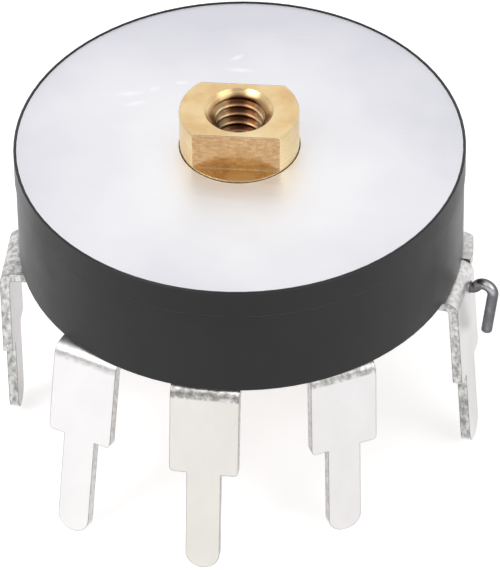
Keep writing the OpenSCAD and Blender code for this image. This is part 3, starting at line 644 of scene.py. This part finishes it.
# ---------------------------------------------------------------- stage
# Room that the part mirrors: brighter towards this direction, from one level to the other
# over this span of the cosine
ROOM_BRIGHT = (0.0, 0.82, 0.57)
ROOM_SPAN, ROOM_LEVELS = (-0.5, 0.75), (0.45, 1.0)
ROOM_TINT = (0.98, 0.98, 1.0)
FILL_TINT, FILL_LEVEL = (0.97, 0.98, 1.0), 0.62
FLOOR_HALF = 0.6                        # m
FLOOR_COLOUR = (0.9, 0.9, 0.9)
FLOOR_ROUGH, FLOOR_SHINE = 0.9, 0.1
FLOOR_SEEN, FLOOR_MIRRORED = 0.52, 0.24   # light that it adds for the camera and mirrors
# Lamps: azimuth and elevation in degrees, distance and width in m, and power in W
LAMPS = {"key": (-48, 52, 0.45, 0.22, 0.62), "fill": (62, 38, 0.5, 0.30, 0.45)}


def make_world():
    """Soft room: plain white to the camera, and brighter behind and overhead in what the
    part mirrors."""
    world = bpy.data.worlds.new("room")
    bpy.context.scene.world = world
    world.use_nodes = True
    t = Tree(world.node_tree)
    t.tree.nodes.clear()
    path = t.node("ShaderNodeLightPath").outputs
    place = t.node("ShaderNodeTexCoord").outputs["Generated"]
    cosine = t.vector_maths("DOT_PRODUCT", place, ROOM_BRIGHT)
    level = t.ramp(cosine, *ROOM_SPAN, *ROOM_LEVELS, shape="SMOOTHSTEP")
    light = t.shader_mix(t.mirror_rays(path), t.background(FILL_TINT, FILL_LEVEL),
                         t.background(ROOM_TINT, level))
    t.node("ShaderNodeOutputWorld", {
        "Surface": t.shader_mix(path["Is Camera Ray"], light, t.background(WHITE))})


def make_floor():
    """Plain pale floor under the tips of the legs, which keeps the part's soft shadow and
    is clear from below."""
    low = cad_box[0][2]
    mesh = bpy.data.meshes.new("floor")
    corners = [(x * FLOOR_HALF, y * FLOOR_HALF, low)
               for x, y in ((-1, -1), (1, -1), (1, 1), (-1, 1))]
    mesh.from_pydata(corners, [], [(0, 1, 2, 3)])
    floor = bpy.data.objects.new("floor", mesh)
    bpy.context.scene.collection.objects.link(floor)
    m = Shade("floor", {
        "Base Color": rgba(FLOOR_COLOUR), "Roughness": FLOOR_ROUGH,
        "Specular IOR Level": FLOOR_SHINE, "Emission Color": rgba(WHITE)})
    path = m.node("ShaderNodeLightPath").outputs
    m.feed("Emission Strength", m.either(m.times(path["Is Camera Ray"], FLOOR_SEEN),
                                         m.times(m.mirror_rays(path), FLOOR_MIRRORED)))
    below = m.node("ShaderNodeNewGeometry").outputs["Backfacing"]
    clear = m.node("ShaderNodeBsdfTransparent").outputs[0]
    m.tree.links.new(m.shader_mix(below, m.surface.outputs[0], clear),
                     m.tree.nodes["Material Output"].inputs["Surface"])
    mesh.materials.append(m.material)


def softbox(name, azimuth, elevation, distance, size, power):
    """Square soft lamp that looks at the part."""
    back = outward(math.radians(azimuth), math.radians(elevation))
    data = bpy.data.lights.new(name, "AREA")
    data.size = size
    data.energy = power
    lamp = bpy.data.objects.new(name, data)
    lamp.location = back * distance
    lamp.rotation_mode = "QUATERNION"
    lamp.rotation_quaternion = back.to_track_quat("Z", "Y")
    bpy.context.scene.collection.objects.link(lamp)


# ---------------------------------------------------------------- make it
# Dark and light tone, lowest and highest roughness, and the nodes of each plain material
CASE_LOOK = (((0.007, 0.007, 0.0072), (0.014, 0.0134, 0.0136)), (0.34, 0.5))
PLASTICS = {
    "washer_plastic": (((0.70, 0.68, 0.62), (0.80, 0.78, 0.72)), (0.4, 0.5),
                       ("thrust_washer",)),
    "rotor_plastic": (((0.58, 0.56, 0.50), (0.68, 0.66, 0.60)), (0.42, 0.55), ("rotor",)),
}
METALS = {
    "spring_bronze": (((0.62, 0.38, 0.20), (0.76, 0.52, 0.32)), (0.25, 0.4),
                      ("wiper", "fixed_contact")),
    "silver_plate": (((0.78, 0.78, 0.77), (0.88, 0.88, 0.87)), (0.25, 0.4),
                     ("contact_button",)),
    "eyelet_metal": (((0.60, 0.60, 0.58), (0.76, 0.76, 0.74)), (0.22, 0.38),
                     ("terminal_eyelets",)),
    "washer_steel": (((0.50, 0.50, 0.52), (0.66, 0.66, 0.68)), (0.28, 0.42),
                     ("end_washer",)),
}
# The same for the printed films, with how metallic each is
FILMS = {
    "carbon": (((0.018, 0.018, 0.018), (0.035, 0.035, 0.034)), (0.5, 0.7), 0.0,
               ("carbon_track",)),
    "silver_print": (((0.58, 0.58, 0.56), (0.72, 0.72, 0.70)), (0.35, 0.5), 0.8,
                     ("end_pads", "collector_ring")),
}


def dress(material, *names):
    """Gives these CAD nodes the material."""
    for name in names:
        data = NODES[name].data
        data.materials.clear()
        data.materials.append(material)


make_camera()
make_world()
make_floor()
for name, lamp in LAMPS.items():
    softbox(name, *lamp)

brass = brass_material()
case = plastic("case_plastic", *CASE_LOOK, CASE_IOR, CASE_PAINTED_SHEEN)
dress(case, "upper_case", "lower_case")
dress(cover_material(), "cover_disc")
dress(brass, "shaft")
dress(laminate_material(), "base_board")
dress(wire_material(), "switch_spring")
for name, (tones, rough, nodes) in PLASTICS.items():
    dress(plastic(name, tones, rough), *nodes)
for name, (tones, rough, nodes) in METALS.items():
    dress(metal(name, tones, rough), *nodes)
for name, (tones, rough, metallic, nodes) in FILMS.items():
    dress(printed_film(name, tones, rough, metallic), *nodes)
for name in TERMINAL_LOOKS:
    dress(terminal_material(name), name)
threaded_shaft(brass)

bpy.context.scene.view_settings.view_transform = "Standard"
